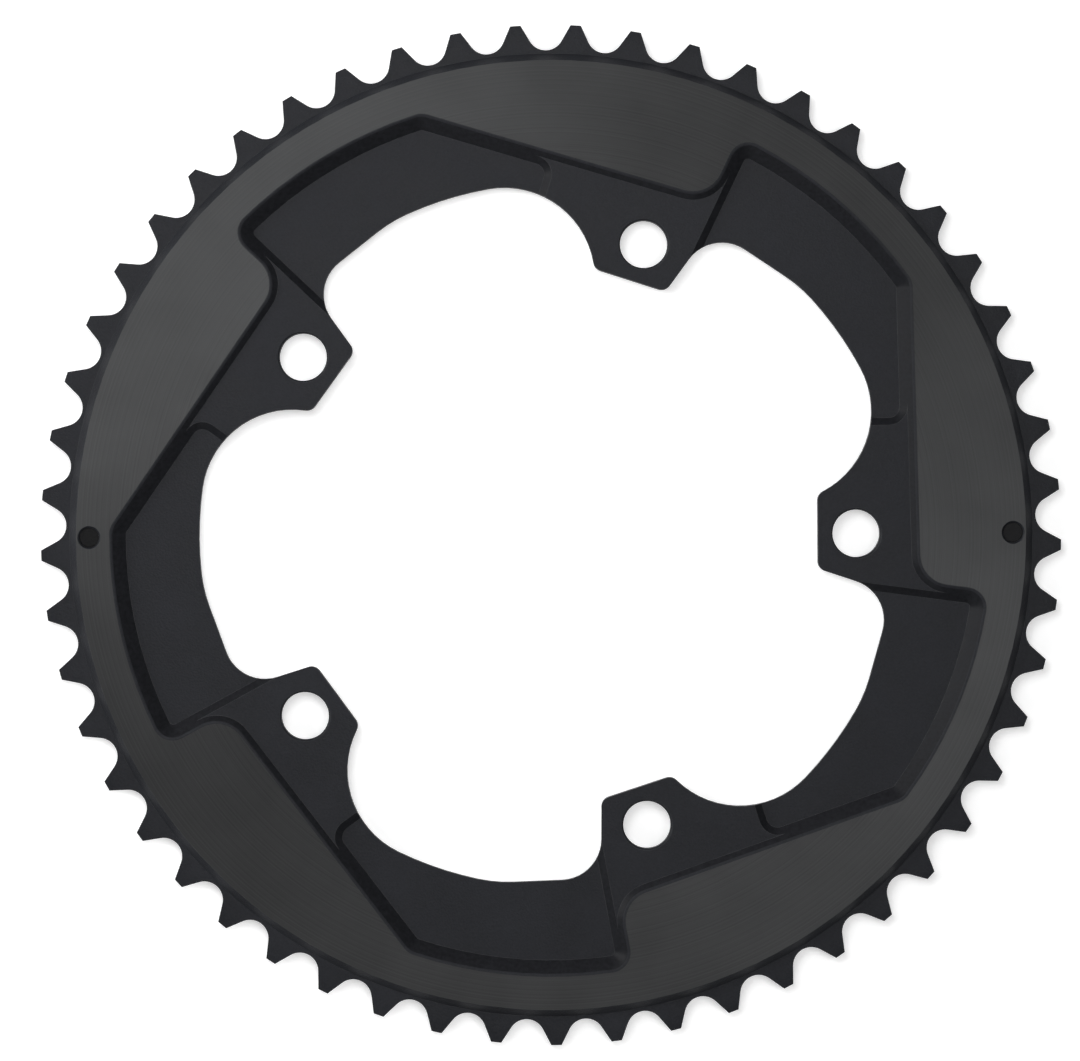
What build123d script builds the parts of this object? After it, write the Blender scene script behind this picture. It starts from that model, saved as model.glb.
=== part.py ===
from build123d import *
import math
import os

# Outer chainring of a road bicycle crank, one piece of forged and machined aluminium.
# It lies flat with its outboard face up. The origin is on the ring's axis, on the plane of
# its inboard face, and the first bolt hole lies on +X. Lengths are in millimetres, angles in
# degrees, and angles of a sector are counted anticlockwise from the sector's bolt hole.

# Chain and teeth
TOOTH_COUNT = 53
CHAIN_PITCH = 12.7
ROLLER_DIAMETER = 7.75
ROLLER_PLAY = 0.04
ROLLER_SEAT_ANGLE = 120.0
TIP_ABOVE_PITCH_LINE = 1.6
TOOTH_THICKNESS = 2.0
TOOTH_TIP_THICKNESS = 0.9
TOOTH_BEVEL_BELOW_PITCH_LINE = 1.7
TOOTH_PHASE = -1.41

# Bolt holes and the lugs around them
BOLT_COUNT = 5
BOLT_CIRCLE_DIAMETER = 130.0
BOLT_HOLE_DIAMETER = 10.1
BOLT_HOLE_CHAMFER = 0.4
LUG_END_WALL = 3.1
LUG_LEADING_HALF_WIDTH = 7.5
LUG_LEADING_LEAN = 18.5
LUG_LEADING_FILLET = 8.7
LUG_CORNER_RADIUS = 2.2

# Opening in the middle
OPENING_DIAMETER = 150.0
SCALLOP_RADIUS = 19.3
SCALLOP_ANGLE = 28.0
BLEND_ANGLE = 27.0
BLEND_SLOPE = 16.0
BLEND_FILLET = 30.0

# Heights of the steps of the outboard face
FACE_HEIGHT = 4.0
SEAT_HEIGHT = 3.0
FLOOR_HEIGHT = 1.9
WALL_ANGLE = 35.0

# Raised rim and the raised pads that run from it to the lugs
RIM_SET_BACK = 2.3
RIM_BEVEL_RUN = 1.6
RIM_WIDTH = 7.4
PAD_EDGE_FROM_BOLTS = 13.05
PAD_EDGE_TILT = 1.3
PAD_STEP_ANGLE = 7.7
PAD_CORNER_RADIUS = 6.8
POCKET_CORNER_RADIUS = 4.0
SEAT_END_FROM_BOLTS = 23.0
SEAT_CORNER_RADIUS = 4.0
FACE_EDGE_CHAMFER = 0.35

# Shift ramps of the inboard face, and lifting pins riveted through the rim
GATE_COUNT = 2
RAMP_LENGTH = 15.0
RAMP_WIDTH = 5.0
RAMP_DEPTH = 0.7
RAMP_SLOPE = 32.0
RAMP_BELOW_PITCH_LINE = 7.5
PIN_DIAMETER = 5.0
PIN_SEAT_DEPTH = 2.0
PIN_STAND_OUT = 1.6
PIN_EDGE_CHAMFER = 0.4
PIN_BELOW_PITCH_LINE = 8.9
PIN_TEETH_FROM_RAMP = 1.5
PIN_FIT_CLEARANCE = 0.01
RIVET_DIAMETER = 4.2
RIVET_END_BELOW_FACE = 0.7
RIVET_COUNTERSINK = 0.35

# The corner radii at the two ends of a straight wall together take no more than this share of it
CORNERS_SHARE_OF_WALL = 0.75

# Tools of a cut reach this far past the material
OVERSHOOT = 1.0

# Cylinders and cones stand up from their place
STANDING = (Align.CENTER, Align.CENTER, Align.MIN)

# Derived sizes
TOOTH_STEP = 360.0 / TOOTH_COUNT
BOLT_STEP = 360.0 / BOLT_COUNT
PITCH_RADIUS = CHAIN_PITCH / 2 / math.sin(math.radians(TOOTH_STEP / 2))
SEAT_RADIUS = ROLLER_DIAMETER / 2 + ROLLER_PLAY
ROOT_RADIUS = PITCH_RADIUS - ROLLER_DIAMETER / 2
SEAT_CENTRE_RADIUS = ROOT_RADIUS + SEAT_RADIUS
TIP_RADIUS = PITCH_RADIUS + TIP_ABOVE_PITCH_LINE
BOLT_CIRCLE_RADIUS = BOLT_CIRCLE_DIAMETER / 2
LUG_END = BOLT_CIRCLE_RADIUS - BOLT_HOLE_DIAMETER / 2 - LUG_END_WALL
OPENING_RADIUS = OPENING_DIAMETER / 2
RIM_OUTER_RADIUS = ROOT_RADIUS - RIM_SET_BACK
RIM_INNER_RADIUS = RIM_OUTER_RADIUS - RIM_WIDTH
PAD_EDGE_DISTANCE = BOLT_CIRCLE_RADIUS + PAD_EDGE_FROM_BOLTS
PAD_STEP_FOOT = PAD_EDGE_DISTANCE / math.cos(math.radians(PAD_STEP_ANGLE + PAD_EDGE_TILT))
PAD_STEP_LENGTH = RIM_INNER_RADIUS - PAD_STEP_FOOT
WALL_RUN = 1 / math.tan(math.radians(WALL_ANGLE))
SEAT_WALL_RUN = (FACE_HEIGHT - SEAT_HEIGHT) * WALL_RUN


def polar(radius, angle):
    """Point of the ring's plane at a radius and an angle."""
    return Vector(radius * math.cos(math.radians(angle)), radius * math.sin(math.radians(angle)))


def around(shape, angle):
    """Copy of a shape turned about the ring's axis."""
    return Rot(0, 0, angle) * shape


def corners_on_wall(length, *radii):
    """Corner radii at the two ends of a straight wall, made smaller together where the wall is short."""
    share = min(1, CORNERS_SHARE_OF_WALL * length / sum(radii))
    return [radius * share for radius in radii]


def corner_vertices(outline, point):
    """The outline's vertex at a point of the first sector, with its fellows in the other sectors."""
    places = [point.rotate(Axis.Z, sector * BOLT_STEP) for sector in range(BOLT_COUNT)]
    return [outline.vertices().sort_by_distance(place)[0] for place in places]


def tooth_outline():
    """Outer outline: roller seats joined by straight flanks and short tip arcs."""
    half_seat = math.radians(ROLLER_SEAT_ANGLE / 2)
    seat_end = Vector(
        SEAT_CENTRE_RADIUS - SEAT_RADIUS * math.cos(half_seat), SEAT_RADIUS * math.sin(half_seat)
    )
    flank = Vector(math.sin(half_seat), math.cos(half_seat))
    along = seat_end.dot(flank)
    reach = math.sqrt(along**2 + TIP_RADIUS**2 - seat_end.length**2) - along
    tip_corner = seat_end + flank * reach
    first = Vector(seat_end.X, -seat_end.Y)
    first_tip = Vector(tip_corner.X, -tip_corner.Y)
    next_tip = first_tip.rotate(Axis.Z, TOOTH_STEP)
    gap = [
        Line(first_tip, first),
        ThreePointArc(first, (ROOT_RADIUS, 0), seat_end),
        Line(seat_end, tip_corner),
        ThreePointArc(tip_corner, polar(TIP_RADIUS, TOOTH_STEP / 2), next_tip),
    ]
    first_gap = TOOTH_PHASE + TOOTH_STEP / 2
    edges = [around(edge, first_gap + tooth * TOOTH_STEP) for tooth in range(TOOTH_COUNT) for edge in gap]
    return make_face(edges)


def opening_outline():
    """Inner outline: a circle that five lugs reach into, each with a scallop on its trailing side."""
    scallop_top = polar(OPENING_RADIUS, SCALLOP_ANGLE)
    scallop_centre = polar(OPENING_RADIUS - SCALLOP_RADIUS, SCALLOP_ANGLE)
    end_depth = LUG_END - scallop_centre.X
    trailing = Vector(LUG_END, scallop_centre.Y - math.sqrt(SCALLOP_RADIUS**2 - end_depth**2))
    middle = (trailing + scallop_top) / 2 - scallop_centre
    scallop_middle = scallop_centre + middle.normalized() * SCALLOP_RADIUS

    leading = Vector(LUG_END, -LUG_LEADING_HALF_WIDTH)
    side = Vector(1, 0).rotate(Axis.Z, -LUG_LEADING_LEAN)
    blend_start = polar(OPENING_RADIUS, -BLEND_ANGLE)
    blend = Vector(0, 1).rotate(Axis.Z, -BLEND_SLOPE)
    span = leading - blend_start
    along_blend = (span.X * side.Y - span.Y * side.X) / (blend.X * side.Y - blend.Y * side.X)
    shoulder = blend_start + blend * along_blend

    bow_middle = polar(OPENING_RADIUS, (SCALLOP_ANGLE + BOLT_STEP - BLEND_ANGLE) / 2)
    sector = [
        Line(blend_start, shoulder),
        Line(shoulder, leading),
        Line(leading, trailing),
        ThreePointArc(trailing, scallop_middle, scallop_top),
        ThreePointArc(scallop_top, bow_middle, polar(OPENING_RADIUS, BOLT_STEP - BLEND_ANGLE)),
    ]
    outline = make_face([around(edge, step * BOLT_STEP) for step in range(BOLT_COUNT) for edge in sector])
    side_length = (shoulder - leading).length
    shoulder_radius, lug_radius = corners_on_wall(side_length, LUG_LEADING_FILLET, LUG_CORNER_RADIUS)
    outline = fillet(corner_vertices(outline, blend_start), BLEND_FILLET)
    outline = fillet(corner_vertices(outline, shoulder), shoulder_radius)
    outline = fillet(corner_vertices(outline, leading), lug_radius)
    return fillet(corner_vertices(outline, trailing), lug_radius)


def pad_edge_end(distance, radius):
    """Point where the first pad's straight edge, at a distance from the axis, meets a circle."""
    return polar(radius, PAD_EDGE_TILT + math.degrees(math.acos(distance / radius)))


def recess_outline():
    """Everything that lies lower than the raised face, inside the rim, as one outline."""
    step_top = polar(RIM_INNER_RADIUS, -PAD_STEP_ANGLE)
    pad_corner = polar(PAD_STEP_FOOT, -PAD_STEP_ANGLE)
    edge_end = pad_edge_end(PAD_EDGE_DISTANCE, RIM_INNER_RADIUS)
    next_step = step_top.rotate(Axis.Z, BOLT_STEP)
    rim_middle = (edge_end + next_step).normalized() * RIM_INNER_RADIUS
    sector = [
        Line(step_top, pad_corner),
        Line(pad_corner, edge_end),
        ThreePointArc(edge_end, rim_middle, next_step),
    ]
    outline = make_face([around(edge, step * BOLT_STEP) for step in range(BOLT_COUNT) for edge in sector])
    pad_radius, pocket_radius = corners_on_wall(PAD_STEP_LENGTH, PAD_CORNER_RADIUS, POCKET_CORNER_RADIUS)
    outline = fillet(corner_vertices(outline, pad_corner), pad_radius)
    outline = fillet(corner_vertices(outline, step_top), pocket_radius)
    return fillet(corner_vertices(outline, edge_end), pocket_radius)


def pocket_outline():
    """Deep pocket from the first lug's seat to the next pad's step, at the height of the seats."""
    rim = RIM_INNER_RADIUS - SEAT_WALL_RUN
    inner = LUG_END - OVERSHOOT
    edge_normal = polar(1, PAD_EDGE_TILT)
    edge_distance = PAD_EDGE_DISTANCE - SEAT_WALL_RUN
    seat_corner = Vector(
        (edge_distance - SEAT_END_FROM_BOLTS * edge_normal.Y) / edge_normal.X, SEAT_END_FROM_BOLTS
    )
    seat_foot = Vector(math.sqrt(inner**2 - SEAT_END_FROM_BOLTS**2), SEAT_END_FROM_BOLTS)
    edge_end = pad_edge_end(edge_distance, rim)
    step_angle = BOLT_STEP - PAD_STEP_ANGLE
    set_over = polar(SEAT_WALL_RUN, step_angle - 90)
    step_top = polar(math.sqrt(rim**2 - SEAT_WALL_RUN**2), step_angle) + set_over
    step_foot = polar(math.sqrt(inner**2 - SEAT_WALL_RUN**2), step_angle) + set_over
    rim_middle = (edge_end + step_top).normalized() * rim
    outline = make_face(
        [
            Line(seat_foot, seat_corner),
            Line(seat_corner, edge_end),
            ThreePointArc(edge_end, rim_middle, step_top),
            Line(step_top, step_foot),
            Line(step_foot, seat_foot),
        ]
    )
    _, pocket_radius = corners_on_wall(PAD_STEP_LENGTH, PAD_CORNER_RADIUS, POCKET_CORNER_RADIUS)
    seat_level_radius = pocket_radius - SEAT_WALL_RUN
    outline = fillet(outline.vertices().sort_by_distance(step_top)[0], seat_level_radius)
    outline = fillet(outline.vertices().sort_by_distance(edge_end)[0], seat_level_radius)
    return fillet(outline.vertices().sort_by_distance(seat_corner)[0], SEAT_CORNER_RADIUS)


def turned_blank():
    """Disc with the turned section: tooth plate bevelled towards the tips, bevel up to the raised rim."""
    bevel_radius = PITCH_RADIUS - TOOTH_BEVEL_BELOW_PITCH_LINE
    bevel_rise = (TOOTH_THICKNESS - TOOTH_TIP_THICKNESS) / 2 / (TIP_RADIUS - bevel_radius)
    edge_radius = TIP_RADIUS + OVERSHOOT
    edge_bevel = bevel_rise * (edge_radius - bevel_radius)
    section = Polyline(
        (0, 0, 0),
        (bevel_radius, 0, 0),
        (edge_radius, 0, edge_bevel),
        (edge_radius, 0, TOOTH_THICKNESS - edge_bevel),
        (bevel_radius, 0, TOOTH_THICKNESS),
        (RIM_OUTER_RADIUS + RIM_BEVEL_RUN, 0, TOOTH_THICKNESS),
        (RIM_OUTER_RADIUS, 0, FACE_HEIGHT),
        (0, 0, FACE_HEIGHT),
        close=True,
    )
    return revolve(make_face(section), Axis.Z)


def pin_angles():
    """Angles of the lifting pins, the first of them in line with the first bolt hole."""
    return [gate * 360.0 / GATE_COUNT for gate in range(GATE_COUNT)]


def pin_places():
    """Places of the lifting pins on the rim."""
    return [polar(PITCH_RADIUS - PIN_BELOW_PITCH_LINE, angle) for angle in pin_angles()]


def ramp_angles():
    """Angles of the tooth gaps that the shift ramps lead into, each some teeth before its pin."""
    first_gap = TOOTH_PHASE + TOOTH_STEP / 2
    gaps = [round((angle - first_gap) / TOOTH_STEP - PIN_TEETH_FROM_RAMP) for angle in pin_angles()]
    return [first_gap + gap * TOOTH_STEP for gap in gaps]


def make_ramp_cuts():
    """Shallow slanted cuts across the inboard face, one for each gate."""
    cut = extrude(Rectangle(RAMP_LENGTH, RAMP_WIDTH, rotation=90 + RAMP_SLOPE), RAMP_DEPTH)
    ramp = Pos(PITCH_RADIUS - RAMP_BELOW_PITCH_LINE, 0, 0) * cut
    return [around(ramp, angle) for angle in ramp_angles()]


def bolt_hole_edges(ring):
    """Rim of every bolt hole on the side of the seats."""
    rims = ring.edges().filter_by(GeomType.CIRCLE).filter_by_position(Axis.Z, SEAT_HEIGHT, SEAT_HEIGHT)
    return rims.filter_by(lambda edge: math.isclose(edge.radius, BOLT_HOLE_DIAMETER / 2))


def make_pin_hole():
    """Seat of a pin in the inboard face, and the hole of its rivet end with a countersink at its mouth."""
    radius = RIVET_DIAMETER / 2 + PIN_FIT_CLEARANCE
    reach = RIVET_COUNTERSINK + OVERSHOOT
    seat = Cylinder(PIN_DIAMETER / 2 + PIN_FIT_CLEARANCE, PIN_SEAT_DEPTH, align=STANDING)
    rivet_hole = Cylinder(radius, FACE_HEIGHT + OVERSHOOT, align=STANDING)
    mouth = Cone(radius, radius + reach, reach, align=STANDING)
    return seat + rivet_hole + Pos(0, 0, FACE_HEIGHT - RIVET_COUNTERSINK) * mouth


def make_chainring():
    """The ring itself, from its turned blank."""
    bolts = [Pos(polar(BOLT_CIRCLE_RADIUS, step * BOLT_STEP)) for step in range(BOLT_COUNT)]
    plan = tooth_outline() - opening_outline()
    plan -= [bolt * Circle(BOLT_HOLE_DIAMETER / 2) for bolt in bolts]
    ring = turned_blank() & extrude(plan, FACE_HEIGHT)

    recess = Pos(0, 0, FACE_HEIGHT) * recess_outline()
    ring -= extrude(recess, SEAT_HEIGHT - FACE_HEIGHT, taper=90 - WALL_ANGLE)
    broken_edge = offset(recess, FACE_EDGE_CHAMFER)
    ring -= extrude(broken_edge, -FACE_EDGE_CHAMFER, taper=90 - WALL_ANGLE / 2)
    pocket = Pos(0, 0, SEAT_HEIGHT) * pocket_outline()
    pocket_cut = extrude(pocket, FLOOR_HEIGHT - SEAT_HEIGHT, taper=90 - WALL_ANGLE)
    ring -= [around(pocket_cut, step * BOLT_STEP) for step in range(BOLT_COUNT)]

    ring = chamfer(bolt_hole_edges(ring), BOLT_HOLE_CHAMFER)

    ring -= make_ramp_cuts()
    for place in pin_places():
        ring -= Pos(place) * make_pin_hole()
    return ring


def make_shift_pins():
    """Steel lifting pins, seated in the inboard face and riveted through the rim, as one group."""
    body = Cylinder(PIN_DIAMETER / 2, PIN_SEAT_DEPTH + PIN_STAND_OUT, align=STANDING)
    body = chamfer(body.edges().group_by(Axis.Z)[0], PIN_EDGE_CHAMFER)
    rivet = Cylinder(RIVET_DIAMETER / 2, FACE_HEIGHT - RIVET_END_BELOW_FACE, align=STANDING)
    return [Pos(place) * (Pos(0, 0, -PIN_STAND_OUT) * body + rivet) for place in pin_places()]


os.makedirs("parts", exist_ok=True)
export_step(make_chainring(), "parts/chainring.step")
export_step(Compound(children=make_shift_pins()), "parts/shift_pins.step")
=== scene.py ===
import math

import bpy
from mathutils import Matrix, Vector


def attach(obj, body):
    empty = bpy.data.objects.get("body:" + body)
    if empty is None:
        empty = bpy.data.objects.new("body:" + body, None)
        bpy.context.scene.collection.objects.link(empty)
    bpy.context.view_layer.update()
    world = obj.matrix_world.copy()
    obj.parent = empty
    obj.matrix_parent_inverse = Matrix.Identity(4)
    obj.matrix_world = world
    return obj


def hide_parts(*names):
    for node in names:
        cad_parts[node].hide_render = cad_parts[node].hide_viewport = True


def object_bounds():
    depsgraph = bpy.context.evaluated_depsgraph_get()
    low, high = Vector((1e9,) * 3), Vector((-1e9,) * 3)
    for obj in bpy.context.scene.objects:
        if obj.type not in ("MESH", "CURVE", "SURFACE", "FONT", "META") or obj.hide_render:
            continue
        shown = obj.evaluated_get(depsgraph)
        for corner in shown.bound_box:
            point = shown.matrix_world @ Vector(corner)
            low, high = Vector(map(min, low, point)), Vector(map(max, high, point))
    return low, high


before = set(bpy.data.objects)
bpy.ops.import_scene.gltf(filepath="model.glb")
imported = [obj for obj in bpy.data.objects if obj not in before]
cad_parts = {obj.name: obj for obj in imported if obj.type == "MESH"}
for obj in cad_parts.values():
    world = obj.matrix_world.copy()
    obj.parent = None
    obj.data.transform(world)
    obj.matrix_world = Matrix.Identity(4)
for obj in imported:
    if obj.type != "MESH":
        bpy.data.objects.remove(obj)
cad_low, cad_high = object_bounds()


# The ring: one forged and machined aluminium plate with teeth, a raised rim and pads, pockets and bolt
# lugs, blasted and anodised black. The raised face is turned on a lathe, which leaves fine rings. The
# sloped walls of the pockets are milled, and their darker colour is painted shade. Every edge is
# tumbled to a small round, coloured lighter: partly wear of the anodising, partly a painted highlight.

MM = 0.001
EDGE_ROUND = 0.14 * MM
EDGE_STEPS = 2
SHARP_EDGE = math.radians(25)
SMOOTH_EDGE = math.radians(32)
FLAT_ENOUGH = math.radians(0.3)
MERGE_GAP = 0.0005 * MM
LARGE_FACES_LEAD = 100
FACE_LEVEL = cad_high.z - 0.02 * MM
FACES_UP = 0.999

GRAIN_DETAIL = 3.0
GRAIN_LOW = 0.3
GRAIN_HIGH = 0.7

BLAST_DARK = (0.0108, 0.0115, 0.0139, 1)
BLAST_LIGHT = (0.0190, 0.0200, 0.0240, 1)
BLAST_GRAIN = 0.45 * MM
BLAST_DEPTH = 0.09 * MM
BLAST_ROUGH = (0.48, 0.60)
BLAST_SPECULAR = 0.13
DYE_PATCH = 14 * MM
GRAIN_SHARE = 0.45

# The wall colours are darker than the floors' as painted shade.
WALL_PAINTED_SHADE_DARK = (0.0068, 0.0072, 0.0088, 1)
WALL_PAINTED_SHADE_LIGHT = (0.0116, 0.0122, 0.0146, 1)
WALL_GRAIN = 0.8 * MM
WALL_DEPTH = 0.03 * MM
WALL_ROUGH = (0.44, 0.56)
WALL_SPECULAR = 0.10
WALL_TILT = (0.75, 0.90)

TURNED_DARK = (0.0335, 0.0341, 0.0348, 1)
TURNED_LIGHT = (0.0500, 0.0509, 0.0519, 1)
TURNED_LINE = 0.35 * MM
TURNED_DEPTH = 0.0018 * MM
TURNED_ROUGH = (0.46, 0.54)
TURNED_METAL = 0.9
TURNED_STRETCH = 0.75
PATCH_SHARE = 0.4

# The edge colours are lighter than the faces': partly wear, partly a painted highlight.
EDGE_WEAR_AND_HIGHLIGHT_DARK = (0.022, 0.023, 0.025, 1)
EDGE_WEAR_AND_HIGHLIGHT_LIGHT = (0.060, 0.061, 0.063, 1)
WORN_PATCH = 5 * MM
WORN_ROUGH = (0.36, 0.50)
WORN_SPECULAR = 0.2


def copy_of_node(node, name):
    """A merged copy of a CAD node's mesh, with its flat faces made whole, to dress in its place."""
    piece = bpy.data.objects.new(name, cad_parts[node].data.copy())
    bpy.context.scene.collection.objects.link(piece)
    piece.data.materials.clear()
    bpy.ops.object.select_all(action="DESELECT")
    bpy.context.view_layer.objects.active = piece
    piece.select_set(True)
    bpy.ops.object.mode_set(mode="EDIT")
    bpy.ops.mesh.select_all(action="SELECT")
    bpy.ops.mesh.remove_doubles(threshold=MERGE_GAP)
    bpy.ops.mesh.dissolve_limited(angle_limit=FLAT_ENOUGH)
    bpy.ops.object.mode_set(mode="OBJECT")
    return piece


def round_edges(piece, width, finish):
    """Every sharp edge gets a small round in one of the piece's finishes, and the faces stay flat."""
    bpy.ops.object.modifier_add(type="BEVEL")
    edge = piece.modifiers[-1]
    edge.width = width
    edge.segments = EDGE_STEPS
    edge.limit_method = "ANGLE"
    edge.angle_limit = SHARP_EDGE
    edge.use_clamp_overlap = True
    edge.material = finish
    bpy.ops.object.modifier_apply(modifier=edge.name)
    bpy.ops.object.shade_smooth_by_angle(angle=SMOOTH_EDGE)
    bpy.ops.object.modifier_add(type="WEIGHTED_NORMAL")
    shading = piece.modifiers[-1]
    shading.weight = LARGE_FACES_LEAD
    shading.keep_sharp = True
    bpy.ops.object.modifier_apply(modifier=shading.name)


def new_finish(name):
    """An empty node material with its shader."""
    material = bpy.data.materials.new(name)
    material.use_nodes = True
    tree = material.node_tree
    return material, tree, tree.nodes["Principled BSDF"]


def object_point(tree):
    """The point of the surface in the piece's own frame."""
    return tree.nodes.new("ShaderNodeTexCoord").outputs["Object"]


def grain(tree, place, size):
    """Noise with lumps of a size, in space, or along a line if its place is a single value."""
    noise = tree.nodes.new("ShaderNodeTexNoise")
    noise.inputs["Scale"].default_value = 1 / size
    noise.inputs["Detail"].default_value = GRAIN_DETAIL
    if place.type == "VALUE":
        noise.noise_dimensions = "1D"
        tree.links.new(place, noise.inputs["W"])
    else:
        tree.links.new(place, noise.inputs["Vector"])
    return noise.outputs["Fac"]


def between(tree, share, span):
    """A value that runs over a span as the noise goes from its lows to its highs."""
    reach = tree.nodes.new("ShaderNodeMapRange")
    reach.inputs["From Min"].default_value = GRAIN_LOW
    reach.inputs["From Max"].default_value = GRAIN_HIGH
    reach.inputs["To Min"].default_value = span[0]
    reach.inputs["To Max"].default_value = span[1]
    tree.links.new(share, reach.inputs["Value"])
    return reach.outputs["Result"]


def mixed(tree, first, second, share):
    """Two noises made into one, with the second's share of it."""
    mix = tree.nodes.new("ShaderNodeMix")
    mix.inputs["Factor"].default_value = share
    tree.links.new(first, mix.inputs["A"])
    tree.links.new(second, mix.inputs["B"])
    return mix.outputs["Result"]


def tint(tree, share, dark, light):
    """A colour between two, by the noise."""
    ramp = tree.nodes.new("ShaderNodeValToRGB")
    low, high = ramp.color_ramp.elements
    low.position = GRAIN_LOW
    low.color = dark
    high.position = GRAIN_HIGH
    high.color = light
    tree.links.new(share, ramp.inputs["Fac"])
    return ramp.outputs["Color"]


def relief(tree, height, depth):
    """Surface normals for a relief of that depth."""
    bump = tree.nodes.new("ShaderNodeBump")
    bump.inputs["Distance"].default_value = depth
    tree.links.new(height, bump.inputs["Height"])
    return bump.outputs["Normal"]


def blasted_black():
    """Black anodising on blasted metal: matt, finely grained, a little uneven in its dye."""
    material, tree, shader = new_finish("blasted_black_anodising")
    place = object_point(tree)
    lumps = grain(tree, place, BLAST_GRAIN)
    patches = grain(tree, place, DYE_PATCH)
    dye = mixed(tree, patches, lumps, GRAIN_SHARE)
    shader.inputs["Specular IOR Level"].default_value = BLAST_SPECULAR
    tree.links.new(tint(tree, dye, BLAST_DARK, BLAST_LIGHT), shader.inputs["Base Color"])
    tree.links.new(between(tree, patches, BLAST_ROUGH), shader.inputs["Roughness"])
    tree.links.new(relief(tree, lumps, BLAST_DEPTH), shader.inputs["Normal"])
    return material


def wall_finish_with_painted_shade():
    """The milled sloped walls, darker than the floors: the darker colour is painted shade."""
    material, tree, shader = new_finish("wall_anodising_with_painted_shade")
    marks = grain(tree, object_point(tree), WALL_GRAIN)
    shader.inputs["Specular IOR Level"].default_value = WALL_SPECULAR
    tree.links.new(tint(tree, marks, WALL_PAINTED_SHADE_DARK, WALL_PAINTED_SHADE_LIGHT), shader.inputs["Base Color"])
    tree.links.new(between(tree, marks, WALL_ROUGH), shader.inputs["Roughness"])
    tree.links.new(relief(tree, marks, WALL_DEPTH), shader.inputs["Normal"])
    return material


def turned_grey():
    """Dark grey anodising over a turned face: fine rings about the axis that stretch the gloss."""
    material, tree, shader = new_finish("turned_grey_anodising")
    place = object_point(tree)
    flat = tree.nodes.new("ShaderNodeVectorMath")
    flat.operation = "MULTIPLY"
    flat.inputs[1].default_value = (1, 1, 0)
    tree.links.new(place, flat.inputs[0])
    radius = tree.nodes.new("ShaderNodeVectorMath")
    radius.operation = "LENGTH"
    tree.links.new(flat.outputs["Vector"], radius.inputs[0])
    across = tree.nodes.new("ShaderNodeVectorMath")
    across.operation = "NORMALIZE"
    tree.links.new(flat.outputs["Vector"], across.inputs[0])
    lines = grain(tree, radius.outputs["Value"], TURNED_LINE)
    dye = mixed(tree, lines, grain(tree, place, DYE_PATCH), PATCH_SHARE)
    shader.inputs["Metallic"].default_value = TURNED_METAL
    shader.inputs["Anisotropic"].default_value = TURNED_STRETCH
    tree.links.new(across.outputs["Vector"], shader.inputs["Tangent"])
    tree.links.new(tint(tree, dye, TURNED_DARK, TURNED_LIGHT), shader.inputs["Base Color"])
    tree.links.new(between(tree, lines, TURNED_ROUGH), shader.inputs["Roughness"])
    tree.links.new(relief(tree, lines, TURNED_DEPTH), shader.inputs["Normal"])
    return material


def edge_finish_worn_and_painted_highlight():
    """The tumbled edges, lighter: partly anodising rubbed thinner and greyer, partly a painted
    highlight.
    """
    material, tree, shader = new_finish("edge_anodising_worn_and_painted_highlight")
    rub = grain(tree, object_point(tree), WORN_PATCH)
    shader.inputs["Specular IOR Level"].default_value = WORN_SPECULAR
    tree.links.new(tint(tree, rub, EDGE_WEAR_AND_HIGHLIGHT_DARK, EDGE_WEAR_AND_HIGHLIGHT_LIGHT), shader.inputs["Base Color"])
    tree.links.new(between(tree, rub, WORN_ROUGH), shader.inputs["Roughness"])
    return material


ring = copy_of_node("chainring", "anodised_ring")
for finish in (blasted_black(), wall_finish_with_painted_shade(), turned_grey(), edge_finish_worn_and_painted_highlight()):
    ring.data.materials.append(finish)
worn_and_highlight_edge_slot = ring.data.materials.find("edge_anodising_worn_and_painted_highlight")
# The rounds of all sharp edges take the edge finish: wear and painted highlight.
round_edges(ring, EDGE_ROUND, worn_and_highlight_edge_slot)
painted_shade_wall_slot = ring.data.materials.find("wall_anodising_with_painted_shade")
turned_slot = ring.data.materials.find("turned_grey_anodising")
# Top faces take the turned finish; sloped wall faces take the wall finish with painted shade.
for face in ring.data.polygons:
    if face.center.z > FACE_LEVEL and face.normal.z > FACES_UP:
        face.material_index = turned_slot
    elif face.material_index != worn_and_highlight_edge_slot and WALL_TILT[0] < face.normal.z < WALL_TILT[1]:
        face.material_index = painted_shade_wall_slot
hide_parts("chainring")
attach(ring, "root")


# The shift pins: two turned and blackened steel pins, riveted through the rim beside the ramps of the
# inboard face. Their heads lift the chain from the smaller ring, and their shanks end a little below
# the raised face.

PIN_ROUND = 0.12 * MM
STEEL_DARK = (0.006, 0.006, 0.0063, 1)
STEEL_LIGHT = (0.012, 0.012, 0.0125, 1)
STEEL_GRAIN = 0.35 * MM
STEEL_ROUGH = (0.34, 0.50)
STEEL_DEPTH = 0.006 * MM
STEEL_METAL = 0.8
STEEL_SPECULAR = 0.1


def blackened_steel():
    """Blackened turned steel, a little uneven in its gloss."""
    material, tree, shader = new_finish("blackened_pin_steel")
    lumps = grain(tree, object_point(tree), STEEL_GRAIN)
    shader.inputs["Metallic"].default_value = STEEL_METAL
    shader.inputs["Specular IOR Level"].default_value = STEEL_SPECULAR
    tree.links.new(tint(tree, lumps, STEEL_DARK, STEEL_LIGHT), shader.inputs["Base Color"])
    tree.links.new(between(tree, lumps, STEEL_ROUGH), shader.inputs["Roughness"])
    tree.links.new(relief(tree, lumps, STEEL_DEPTH), shader.inputs["Normal"])
    return material


pins = copy_of_node("shift_pins", "riveted_pins")
pins.data.materials.append(blackened_steel())
round_edges(pins, PIN_ROUND, pins.data.materials.find("blackened_pin_steel"))
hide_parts("shift_pins")
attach(pins, "root")


# The studio: a plain white floor under the ring, soft lamps high at the upper left and the right, a low
# one at the left, a weak one in front, and surroundings that are paler towards the horizon. The floor
# looks white to the camera and keeps the shadow.

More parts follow.
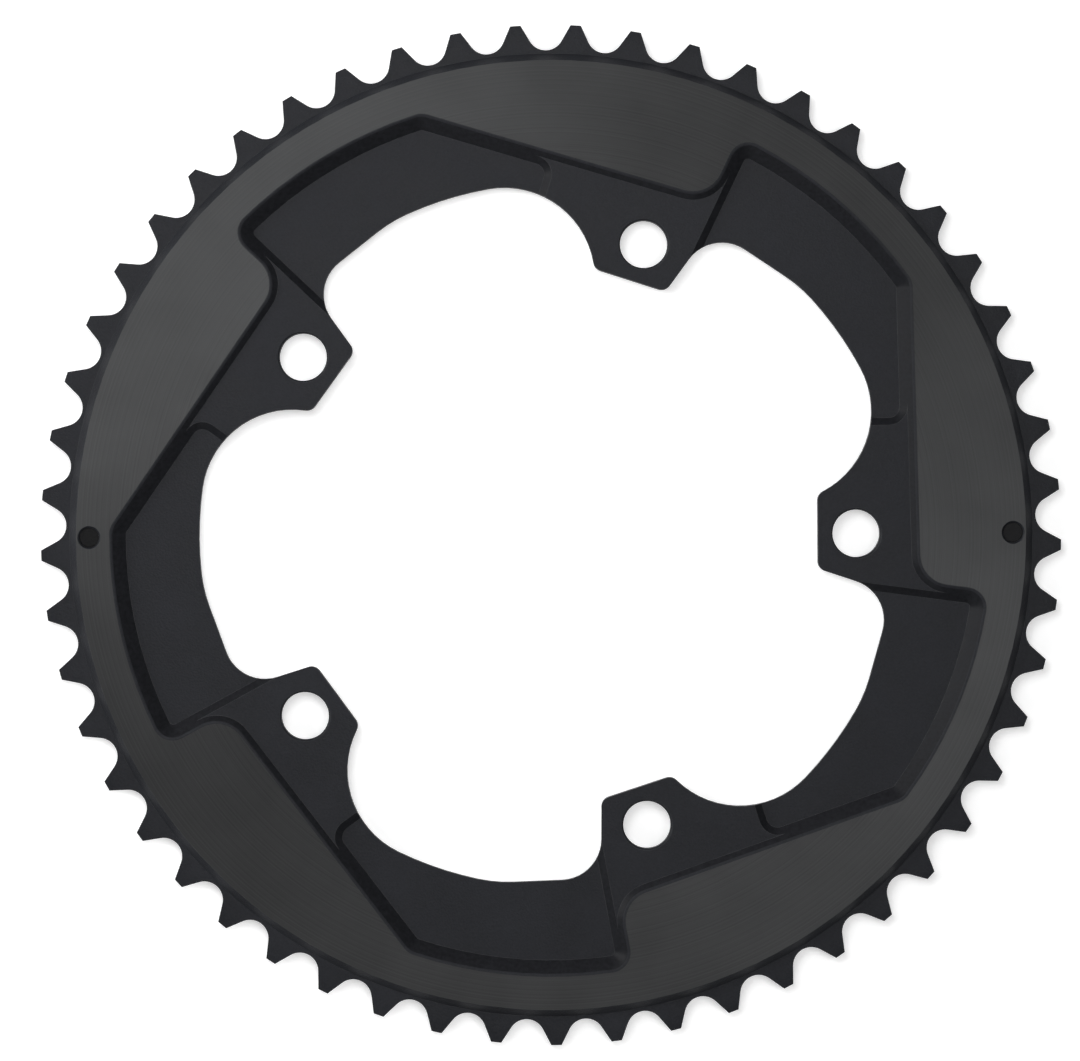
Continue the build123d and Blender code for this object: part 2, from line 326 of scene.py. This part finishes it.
PLAIN_WHITE = (1, 1, 1, 1)
FLOOR_SIZE = 6.0
FLOOR_DULL = (0.80, 0.80, 0.80, 1)
FLOOR_WHITE = (0.84, 0.84, 0.84, 1)
FLOOR_GRAIN = 3 * MM
FLOOR_ROUGH = (0.80, 0.95)
GLOW_NEAR = 0.45
GLOW_FAR = 1.0
NEAR_RING = 0.25
FAR_FROM_RING = 0.90
SKY_TOP = 0.02
SKY_EDGE = 0.75
SKY_EDGE_REACH = 0.45
SKY_SEEN = 1.0
LAMPS = {
    "key_lamp": {"power": 0.87, "size": 0.22, "turn": 121, "height": 68, "distance": 0.45},
    "high_lamp": {"power": 1.10, "size": 0.40, "turn": 130, "height": 70, "distance": 1.10},
    "right_lamp": {"power": 2.7, "size": 0.40, "turn": 4, "height": 70, "distance": 1.10},
    "low_left_lamp": {"power": 7.6, "size": 0.40, "turn": 165, "height": 22, "distance": 1.10},
    "front_lamp": {"power": 0.28, "size": 0.26, "turn": 252, "height": 38, "distance": 0.45},
}


def seen_directly(tree):
    """1 for what is seen straight, in a reflection or through something, and 0 for light on surfaces."""
    path = tree.nodes.new("ShaderNodeLightPath")
    total = path.outputs["Is Camera Ray"]
    for kind in ("Is Glossy Ray", "Is Transmission Ray"):
        either = tree.nodes.new("ShaderNodeMath")
        either.operation = "MAXIMUM"
        tree.links.new(total, either.inputs[0])
        tree.links.new(path.outputs[kind], either.inputs[1])
        total = either.outputs["Value"]
    return total


def white_floor():
    """Matt white paper that looks white, takes shadows, and glows where the lamps no longer reach it."""
    material, tree, shader = new_finish("white_floor")
    place = object_point(tree)
    lumps = grain(tree, place, FLOOR_GRAIN)
    away = tree.nodes.new("ShaderNodeVectorMath")
    away.operation = "LENGTH"
    tree.links.new(place, away.inputs[0])
    glow = tree.nodes.new("ShaderNodeMapRange")
    glow.inputs["From Min"].default_value = NEAR_RING
    glow.inputs["From Max"].default_value = FAR_FROM_RING
    glow.inputs["To Min"].default_value = GLOW_NEAR
    glow.inputs["To Max"].default_value = GLOW_FAR
    tree.links.new(away.outputs["Value"], glow.inputs["Value"])
    seen_glow = tree.nodes.new("ShaderNodeMath")
    seen_glow.operation = "MULTIPLY"
    tree.links.new(glow.outputs["Result"], seen_glow.inputs[0])
    tree.links.new(seen_directly(tree), seen_glow.inputs[1])
    shader.inputs["Emission Color"].default_value = PLAIN_WHITE
    tree.links.new(seen_glow.outputs["Value"], shader.inputs["Emission Strength"])
    tree.links.new(tint(tree, lumps, FLOOR_DULL, FLOOR_WHITE), shader.inputs["Base Color"])
    tree.links.new(between(tree, lumps, FLOOR_ROUGH), shader.inputs["Roughness"])
    return material


def soft_lamp(name, power, size, turn, height, distance):
    """A square soft lamp, in watts and metres, that looks at the ring from a direction in degrees."""
    lamp = bpy.data.lights.new(name, "AREA")
    lamp.energy = power
    lamp.size = size
    holder = bpy.data.objects.new(name, lamp)
    bpy.context.scene.collection.objects.link(holder)
    turn, height = math.radians(turn), math.radians(height)
    level = math.cos(height)
    away = Vector((level * math.cos(turn), level * math.sin(turn), math.sin(height)))
    holder.location = away * distance
    holder.rotation_euler = away.to_track_quat("Z", "Y").to_euler()


def pale_surrounding():
    """Surroundings that look plain white and light the ring mostly from near the horizon."""
    world = bpy.data.worlds.new("pale_surrounding")
    world.use_nodes = True
    tree = world.node_tree
    sky = tree.nodes["Background"]
    sky.inputs["Color"].default_value = PLAIN_WHITE
    direction = tree.nodes.new("ShaderNodeTexCoord").outputs["Generated"]
    up = tree.nodes.new("ShaderNodeSeparateXYZ")
    tree.links.new(direction, up.inputs["Vector"])
    light = tree.nodes.new("ShaderNodeMapRange")
    light.inputs["From Max"].default_value = SKY_EDGE_REACH
    light.inputs["To Min"].default_value = SKY_EDGE
    light.inputs["To Max"].default_value = SKY_TOP
    tree.links.new(up.outputs["Z"], light.inputs["Value"])
    seen = tree.nodes.new("ShaderNodeLightPath").outputs["Is Camera Ray"]
    strength = tree.nodes.new("ShaderNodeMapRange")
    strength.inputs["To Max"].default_value = SKY_SEEN
    tree.links.new(light.outputs["Result"], strength.inputs["To Min"])
    tree.links.new(seen, strength.inputs["Value"])
    tree.links.new(strength.outputs["Result"], sky.inputs["Strength"])
    return world


bpy.ops.object.select_all(action="DESELECT")
bpy.ops.mesh.primitive_plane_add(size=FLOOR_SIZE, location=(0, 0, cad_low.z))
floor = bpy.context.object
floor.name = "floor"
floor.data.materials.append(white_floor())

for lamp_name, lamp_values in LAMPS.items():
    soft_lamp(lamp_name, **lamp_values)

bpy.context.scene.world = pale_surrounding()


# The camera: straight above the ring with a long lens, turned and set so that the ring stands in the
# frame as in the photograph.

PHOTO_WIDTH = 1080
PHOTO_HEIGHT = 1061
RING_MIDDLE = (551.0, 535.0)
PIXEL = 0.21328 * MM
ROLL = math.radians(-0.33)
LENS = 150.0
SENSOR = 36.0

right = (RING_MIDDLE[0] - PHOTO_WIDTH / 2) * PIXEL
down = (RING_MIDDLE[1] - PHOTO_HEIGHT / 2) * PIXEL
middle_height = (cad_low.z + cad_high.z) / 2
lens = bpy.data.cameras.new("camera")
lens.lens = LENS
lens.sensor_width = SENSOR
camera = bpy.data.objects.new("camera", lens)
bpy.context.scene.collection.objects.link(camera)
camera.rotation_euler = (0, 0, ROLL)
camera.location = (
    -right * math.cos(ROLL) - down * math.sin(ROLL),
    -right * math.sin(ROLL) + down * math.cos(ROLL),
    middle_height + PHOTO_WIDTH * PIXEL * LENS / SENSOR,
)
bpy.context.scene.camera = camera
bpy.context.scene.view_settings.view_transform = "Standard"
